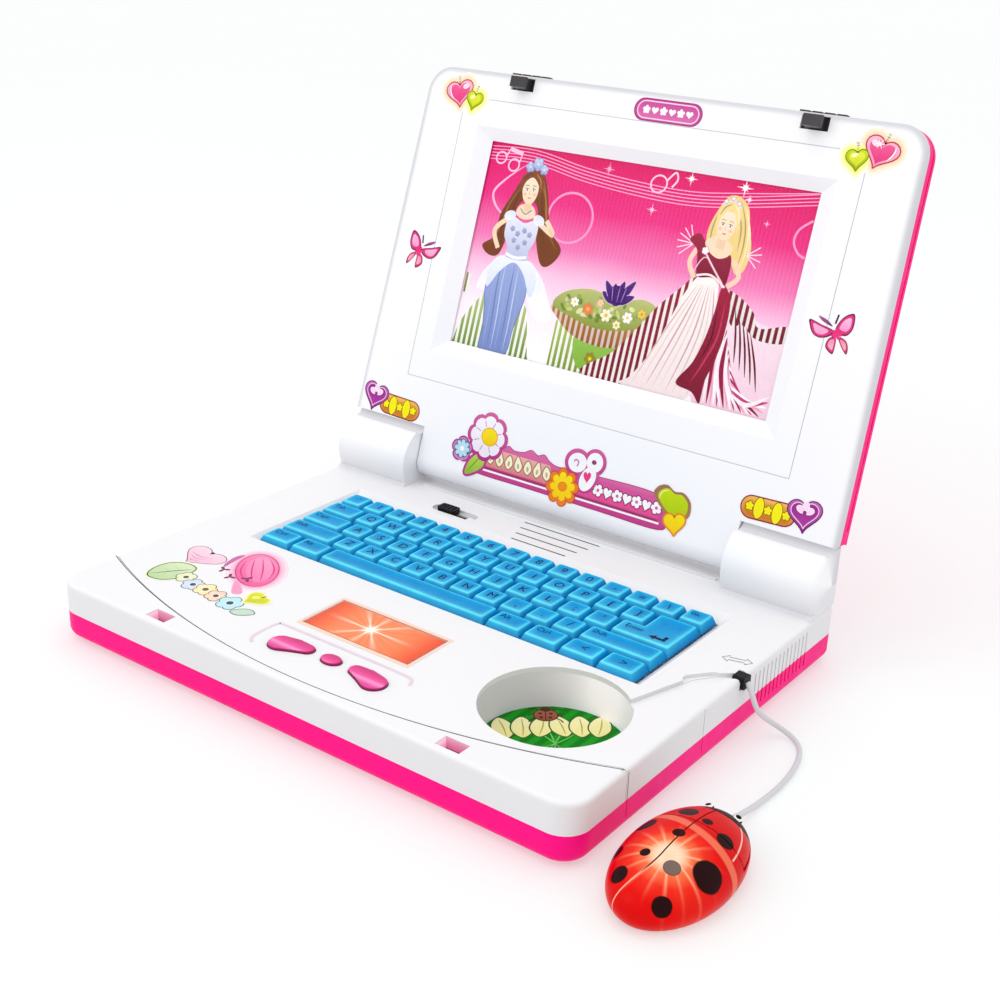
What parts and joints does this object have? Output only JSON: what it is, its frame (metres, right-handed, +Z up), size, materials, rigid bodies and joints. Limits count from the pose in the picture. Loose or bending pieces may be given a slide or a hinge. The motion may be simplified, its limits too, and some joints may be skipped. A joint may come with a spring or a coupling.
{
  "type": "toy laptop computer",
  "caption": "Toy laptop with hinged lid, picture screen, keyboard, touchpad buttons, latches, and a tethered ladybird mouse.",
  "frame": {"origin": "centre of the base's footprint, on the plane of its stand rim", "axes": "+Z up, +X to the right of a user facing the screen, -Y towards the user; the lid stands open at the rear"},
  "size_m": [0.32, 0.2699, 0.2243],
  "materials": {
    "white_shell": "glossy moulded ABS",
    "pink_shell": "glossy moulded ABS",
    "blue_key": "glossy moulded ABS with printed legends",
    "steel": "zinc plated",
    "battery_wrap": "printed sleeve",
    "inner_plastic": "matt moulding",
    "rubber_mat": "silicone",
    "circuit_board": "solder resist",
    "speaker_black": "matt",
    "orange_window": "tinted translucent",
    "lamp": "clear resin",
    "pink_button": "glossy moulded ABS",
    "black_switch": "matt",
    "green_disc": "printed card under varnish",
    "gland_rubber": "soft PVC",
    "clear_window": "clear acrylic",
    "printed_picture": "printed film",
    "latch_grey": "matt",
    "mouse_red": "glossy moulded ABS",
    "mouse_black": "glossy",
    "lens_grey": "smoked clear",
    "foot_pad": "felt rubber",
    "cord_white": "soft white PVC jacket"
  },
  "bodies": {
    "root": {"base_upper_shell": "white_shell", "front_apron": "white_shell", "base_lower_shell": "pink_shell", "battery_door": "pink_shell", "battery_door_screw": "steel", "battery_cells": "battery_wrap", "battery_contacts": "steel", "shell_screws": "steel", "hinge_cover_left": "white_shell", "hinge_cover_right": "white_shell", "hinge_washers": "steel", "keyboard_frame": "inner_plastic", "key_mat": "rubber_mat", "main_circuit_board": "circuit_board", "speaker": "speaker_black", "touchpad_window": "orange_window", "touchpad_lamp": "lamp", "mouse_well_cup": "white_shell", "well_floor_disc": "green_disc", "cable_gland": "gland_rubber", "mouse_cord": "cord_white", "mouse_lower_shell": "mouse_red", "mouse_upper_shell": "mouse_red", "mouse_head": "mouse_black", "mouse_lens": "lens_grey", "mouse_circuit_board": "circuit_board", "mouse_feet": "foot_pad", "mouse_screw": "steel"},
    "lid": {"lid_front_bezel": "white_shell", "lid_rear_cover": "pink_shell", "lid_screws": "steel", "screen_window": "clear_window", "screen_picture": "printed_picture", "backlight_board": "circuit_board", "hinge_pins": "steel", "latch_springs": "steel"},
    "left_latch": {"left_latch": "latch_grey"},
    "right_latch": {"right_latch": "latch_grey"},
    "left_pad_button": {"left_pad_button": "pink_button"},
    "middle_pad_button": {"middle_pad_button": "pink_button"},
    "right_pad_button": {"right_pad_button": "pink_button"},
    "power_switch": {"power_switch_knob": "black_switch"},
    "mouse_left_button": {"mouse_left_button": "mouse_red"},
    "mouse_right_button": {"mouse_right_button": "mouse_red"},
    "number_row": {"number_keys": "blue_key"},
    "backspace_key": {"backspace_key": "blue_key"},
    "tab_key": {"tab_key": "blue_key"},
    "top_letters": {"top_letter_keys": "blue_key"},
    "caps_lock_key": {"caps_lock_key": "blue_key"},
    "home_letters": {"home_letter_keys": "blue_key"},
    "left_shift_key": {"left_shift_key": "blue_key"},
    "bottom_letters": {"bottom_letter_keys": "blue_key"},
    "right_shift_key": {"right_shift_key": "blue_key"},
    "left_controls": {"left_control_keys": "blue_key"},
    "space_bar": {"space_bar": "blue_key"},
    "right_controls": {"right_control_keys": "blue_key"},
    "enter_key": {"enter_key": "blue_key"}
  },
  "joints": [
    {"name": "lid_hinge", "type": "hinge", "parent": "root", "child": "lid", "pos_m": [0, 0.0948, 0.037], "axis": [1, 0, 0], "range_deg": [-10, 107.67]},
    {"name": "left_latch_slide", "type": "slide", "parent": "lid", "child": "left_latch", "axis": [1, 0, 0], "range_m": [-0.003, 0], "stiffness_N_per_m": 300, "springref_m": 0.002},
    {"name": "right_latch_slide", "type": "slide", "parent": "lid", "child": "right_latch", "axis": [1, 0, 0], "range_m": [-0.003, 0], "stiffness_N_per_m": 300, "springref_m": 0.002},
    {"name": "left_pad_button_press", "type": "slide", "parent": "root", "child": "left_pad_button", "axis": [0, 0, 1], "range_m": [-0.001, 0], "stiffness_N_per_m": 500, "springref_m": 0.001},
    {"name": "middle_pad_button_press", "type": "slide", "parent": "root", "child": "middle_pad_button", "axis": [0, 0, 1], "range_m": [-0.001, 0], "stiffness_N_per_m": 500, "springref_m": 0.001},
    {"name": "right_pad_button_press", "type": "slide", "parent": "root", "child": "right_pad_button", "axis": [0, 0, 1], "range_m": [-0.001, 0], "stiffness_N_per_m": 500, "springref_m": 0.001},
    {"name": "number_row_press", "type": "slide", "parent": "root", "child": "number_row", "axis": [0, 0, 1], "range_m": [-0.0015, 0], "stiffness_N_per_m": 500, "springref_m": 0.0015},
    {"name": "backspace_key_press", "type": "slide", "parent": "root", "child": "backspace_key", "axis": [0, 0, 1], "range_m": [-0.0015, 0], "stiffness_N_per_m": 500, "springref_m": 0.0015},
    {"name": "tab_key_press", "type": "slide", "parent": "root", "child": "tab_key", "axis": [0, 0, 1], "range_m": [-0.0015, 0], "stiffness_N_per_m": 500, "springref_m": 0.0015},
    {"name": "top_letters_press", "type": "slide", "parent": "root", "child": "top_letters", "axis": [0, 0, 1], "range_m": [-0.0015, 0], "stiffness_N_per_m": 500, "springref_m": 0.0015},
    {"name": "caps_lock_key_press", "type": "slide", "parent": "root", "child": "caps_lock_key", "axis": [0, 0, 1], "range_m": [-0.0015, 0], "stiffness_N_per_m": 500, "springref_m": 0.0015},
    {"name": "home_letters_press", "type": "slide", "parent": "root", "child": "home_letters", "axis": [0, 0, 1], "range_m": [-0.0015, 0], "stiffness_N_per_m": 500, "springref_m": 0.0015},
    {"name": "left_shift_key_press", "type": "slide", "parent": "root", "child": "left_shift_key", "axis": [0, 0, 1], "range_m": [-0.0015, 0], "stiffness_N_per_m": 500, "springref_m": 0.0015},
    {"name": "bottom_letters_press", "type": "slide", "parent": "root", "child": "bottom_letters", "axis": [0, 0, 1], "range_m": [-0.0015, 0], "stiffness_N_per_m": 500, "springref_m": 0.0015},
    {"name": "right_shift_key_press", "type": "slide", "parent": "root", "child": "right_shift_key", "axis": [0, 0, 1], "range_m": [-0.0015, 0], "stiffness_N_per_m": 500, "springref_m": 0.0015},
    {"name": "left_controls_press", "type": "slide", "parent": "root", "child": "left_controls", "axis": [0, 0, 1], "range_m": [-0.0015, 0], "stiffness_N_per_m": 500, "springref_m": 0.0015},
    {"name": "space_bar_press", "type": "slide", "parent": "root", "child": "space_bar", "axis": [0, 0, 1], "range_m": [-0.0015, 0], "stiffness_N_per_m": 500, "springref_m": 0.0015},
    {"name": "right_controls_press", "type": "slide", "parent": "root", "child": "right_controls", "axis": [0, 0, 1], "range_m": [-0.0015, 0], "stiffness_N_per_m": 500, "springref_m": 0.0015},
    {"name": "enter_key_press", "type": "slide", "parent": "root", "child": "enter_key", "axis": [0, 0, 1], "range_m": [-0.0015, 0], "stiffness_N_per_m": 500, "springref_m": 0.0015},
    {"name": "power_switch_slide", "type": "slide", "parent": "root", "child": "power_switch", "axis": [1, 0, 0], "range_m": [0, 0.008]},
    {"name": "mouse_left_click", "type": "hinge", "parent": "root", "child": "mouse_left_button", "pos_m": [0.1643, -0.0695, 0.012], "axis": [1, 0, 0], "range_deg": [-2.5, 0], "stiffness_Nm_per_rad": 0.15, "springref_deg": 2.29},
    {"name": "mouse_right_click", "type": "hinge", "parent": "root", "child": "mouse_right_button", "pos_m": [0.1643, -0.0695, 0.012], "axis": [1, 0, 0], "range_deg": [-2.5, 0], "stiffness_Nm_per_rad": 0.15, "springref_deg": 2.29}
  ]
}
